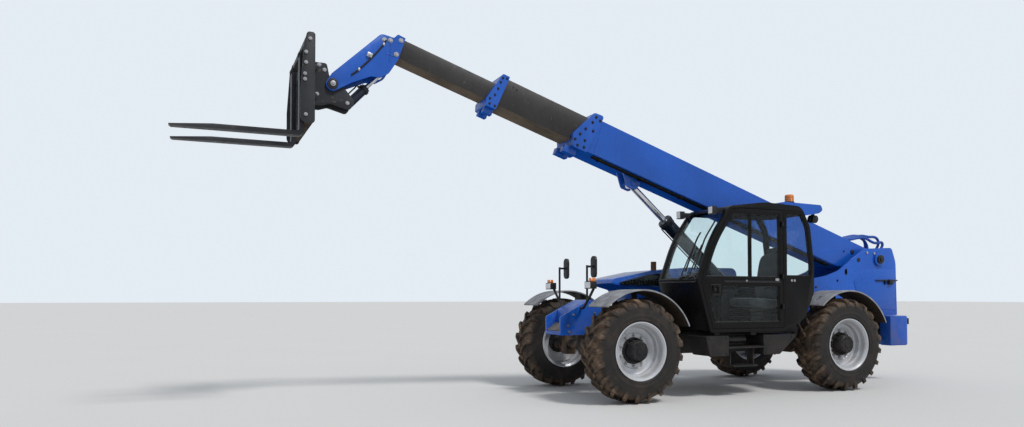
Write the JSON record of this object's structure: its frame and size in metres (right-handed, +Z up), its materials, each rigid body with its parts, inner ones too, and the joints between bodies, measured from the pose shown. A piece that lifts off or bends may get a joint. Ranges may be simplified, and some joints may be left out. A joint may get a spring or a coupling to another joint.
{
  "type": "telehandler",
  "caption": "Telescopic handler with a sectioned boom on a rear tower, pallet forks on a tilting coupler, side cab and steered axles.",
  "frame": {"origin": "on the ground under the middle of the box that bounds the machine at rest", "axes": "+X forward, the way the forks point; +Y to the cab side; +Z up"},
  "size_m": [9.8, 2.275, 4.1198],
  "materials": {
    "blue_paint": "satin paint, dusty",
    "blue_hood": "satin paint",
    "boom_grey": "dark grey paint, greasy",
    "axle_black": "black paint with dried mud",
    "black_steel": "matt black paint",
    "engine_iron": "painted casting",
    "black_plastic": "grained black plastic",
    "cab_black": "satin black paint",
    "glass": "tinted safety glass",
    "seat_black": "woven black cover",
    "amber_lamp": "amber lens on a black base",
    "carriage_black": "charcoal paint, rubbed",
    "fork_steel": "charcoal paint worn to steel",
    "chrome": "polished hard chrome",
    "cylinder_dark": "dark navy paint",
    "tyre": "black rubber with brown mud",
    "rim_silver": "silver paint",
    "guard_grey": "moulded grey plastic"
  },
  "bodies": {
    "chassis": {"chassis_frame": "black_steel", "front_nose": "blue_paint", "boom_tower": "blue_paint", "counterweight": "blue_paint", "axles": "axle_black", "side_steps": "black_steel", "engine_block": "engine_iron", "engine_hood": "blue_hood", "hood_grilles": "black_plastic", "exhaust_stack": "black_steel", "cab_shell": "cab_black", "cab_roof": "cab_black", "cab_glass": "glass", "operator_seat": "seat_black", "steering_console": "black_plastic", "cab_lamps": "black_plastic", "roof_cowl": "blue_paint", "beacon": "amber_lamp", "nose_lamps_mirrors": "black_plastic"},
    "door": {"door_frame": "cab_black", "door_glass": "glass"},
    "boom": {"boom_base": "blue_paint", "boom_pipes": "black_steel"},
    "mid_section": {"boom_mid": "boom_grey", "mid_collar": "blue_paint"},
    "tip_section": {"boom_tip": "boom_grey", "boom_head": "blue_paint"},
    "fork_coupler": {"coupler": "carriage_black", "fork_carriage": "carriage_black", "forks": "fork_steel"},
    "lift_rod": {"lift_rod": "chrome"},
    "lift_barrel": {"lift_barrel": "cylinder_dark"},
    "tilt_rod": {"tilt_rod": "chrome"},
    "tilt_barrel": {"tilt_barrel": "cylinder_dark"},
    "wheel_front_left": {"tyre_front_left": "tyre", "rim_front_left": "rim_silver"},
    "knuckle_front_left": {"knuckle_front_left": "axle_black", "mudguard_front_left": "guard_grey"},
    "wheel_front_right": {"tyre_front_right": "tyre", "rim_front_right": "rim_silver"},
    "knuckle_front_right": {"knuckle_front_right": "axle_black", "mudguard_front_right": "guard_grey"},
    "wheel_rear_left": {"tyre_rear_left": "tyre", "rim_rear_left": "rim_silver"},
    "knuckle_rear_left": {"knuckle_rear_left": "axle_black", "mudguard_rear_left": "guard_grey"},
    "wheel_rear_right": {"tyre_rear_right": "tyre", "rim_rear_right": "rim_silver"},
    "knuckle_rear_right": {"knuckle_rear_right": "axle_black", "mudguard_rear_right": "guard_grey"}
  },
  "joints": [
    {"name": "boom_lift", "type": "hinge", "parent": "chassis", "child": "boom", "pos_m": [-4.5, 0, 1.74], "axis": [0, -1, 0], "range_deg": [-21, 41.5]},
    {"name": "mid_extend", "type": "slide", "parent": "boom", "child": "mid_section", "axis": [0.9483, 0, 0.3173], "range_m": [-0.9, 2.3]},
    {"name": "tip_extend", "type": "slide", "parent": "mid_section", "child": "tip_section", "axis": [0.9483, 0, 0.3173], "range_m": [-0.9, 2.3]},
    {"name": "fork_tilt", "type": "hinge", "parent": "tip_section", "child": "fork_coupler", "pos_m": [3.29778, 0, 3.48969], "axis": [0, 1, 0], "range_deg": [-15, 35]},
    {"name": "tilt_barrel_swing", "type": "hinge", "parent": "fork_coupler", "child": "tilt_barrel", "pos_m": [3.11578, 0, 3.30769], "axis": [0, 1, 0], "range_deg": [-39, 17]},
    {"name": "tilt_rod_slide", "type": "slide", "parent": "tilt_barrel", "child": "tilt_rod", "axis": [-0.6873, 0, 0.7264], "range_m": [-0.151, 0.066]},
    {"name": "lift_rod_swing", "type": "hinge", "parent": "boom", "child": "lift_rod", "pos_m": [-0.50233, 0, 2.65053], "axis": [0, -1, 0], "range_deg": [-3.2, 6.3]},
    {"name": "lift_barrel_slide", "type": "slide", "parent": "lift_rod", "child": "lift_barrel", "axis": [-0.7569, 0, -0.6535], "range_m": [-0.551, 1.088]},
    {"name": "door_swing", "type": "hinge", "parent": "chassis", "child": "door", "pos_m": [-2.03, 1.106, 1.5], "axis": [0, 0, 1], "range_deg": [0, 95]},
    {"name": "front_left_steer", "type": "hinge", "parent": "chassis", "child": "knuckle_front_left", "pos_m": [0.05, 0.72, 0.59], "axis": [0, 0, 1], "range_deg": [-33, 33]},
    {"name": "front_right_steer", "type": "hinge", "parent": "chassis", "child": "knuckle_front_right", "pos_m": [0.05, -0.72, 0.59], "axis": [0, 0, 1], "range_deg": [-33, 33]},
    {"name": "rear_left_steer", "type": "hinge", "parent": "chassis", "child": "knuckle_rear_left", "pos_m": [-3.05, 0.72, 0.59], "axis": [0, 0, 1], "range_deg": [-33, 33]},
    {"name": "rear_right_steer", "type": "hinge", "parent": "chassis", "child": "knuckle_rear_right", "pos_m": [-3.05, -0.72, 0.59], "axis": [0, 0, 1], "range_deg": [-33, 33]},
    {"name": "front_left_spin", "type": "hinge", "parent": "knuckle_front_left", "child": "wheel_front_left", "pos_m": [0.05, 0.935, 0.59], "axis": [0, 1, 0], "continuous": true},
    {"name": "front_right_spin", "type": "hinge", "parent": "knuckle_front_right", "child": "wheel_front_right", "pos_m": [0.05, -0.935, 0.59], "axis": [0, 1, 0], "continuous": true},
    {"name": "rear_left_spin", "type": "hinge", "parent": "knuckle_rear_left", "child": "wheel_rear_left", "pos_m": [-3.05, 0.935, 0.59], "axis": [0, 1, 0], "continuous": true},
    {"name": "rear_right_spin", "type": "hinge", "parent": "knuckle_rear_right", "child": "wheel_rear_right", "pos_m": [-3.05, -0.935, 0.59], "axis": [0, 1, 0], "continuous": true}
  ],
  "couplings": [
    {"joint": "tip_extend", "follows": "mid_extend", "ratio": 1},
    {"joint": "tilt_barrel_swing", "follows": "fork_tilt", "ratio": -1.1},
    {"joint": "tilt_rod_slide", "follows": "fork_tilt", "m_per_rad": -0.245},
    {"joint": "lift_rod_swing", "follows": "boom_lift", "ratio": 0.15},
    {"joint": "lift_barrel_slide", "follows": "boom_lift", "m_per_rad": 1.5},
    {"joint": "front_right_steer", "follows": "front_left_steer", "ratio": 1},
    {"joint": "rear_right_steer", "follows": "rear_left_steer", "ratio": 1}
  ]
}
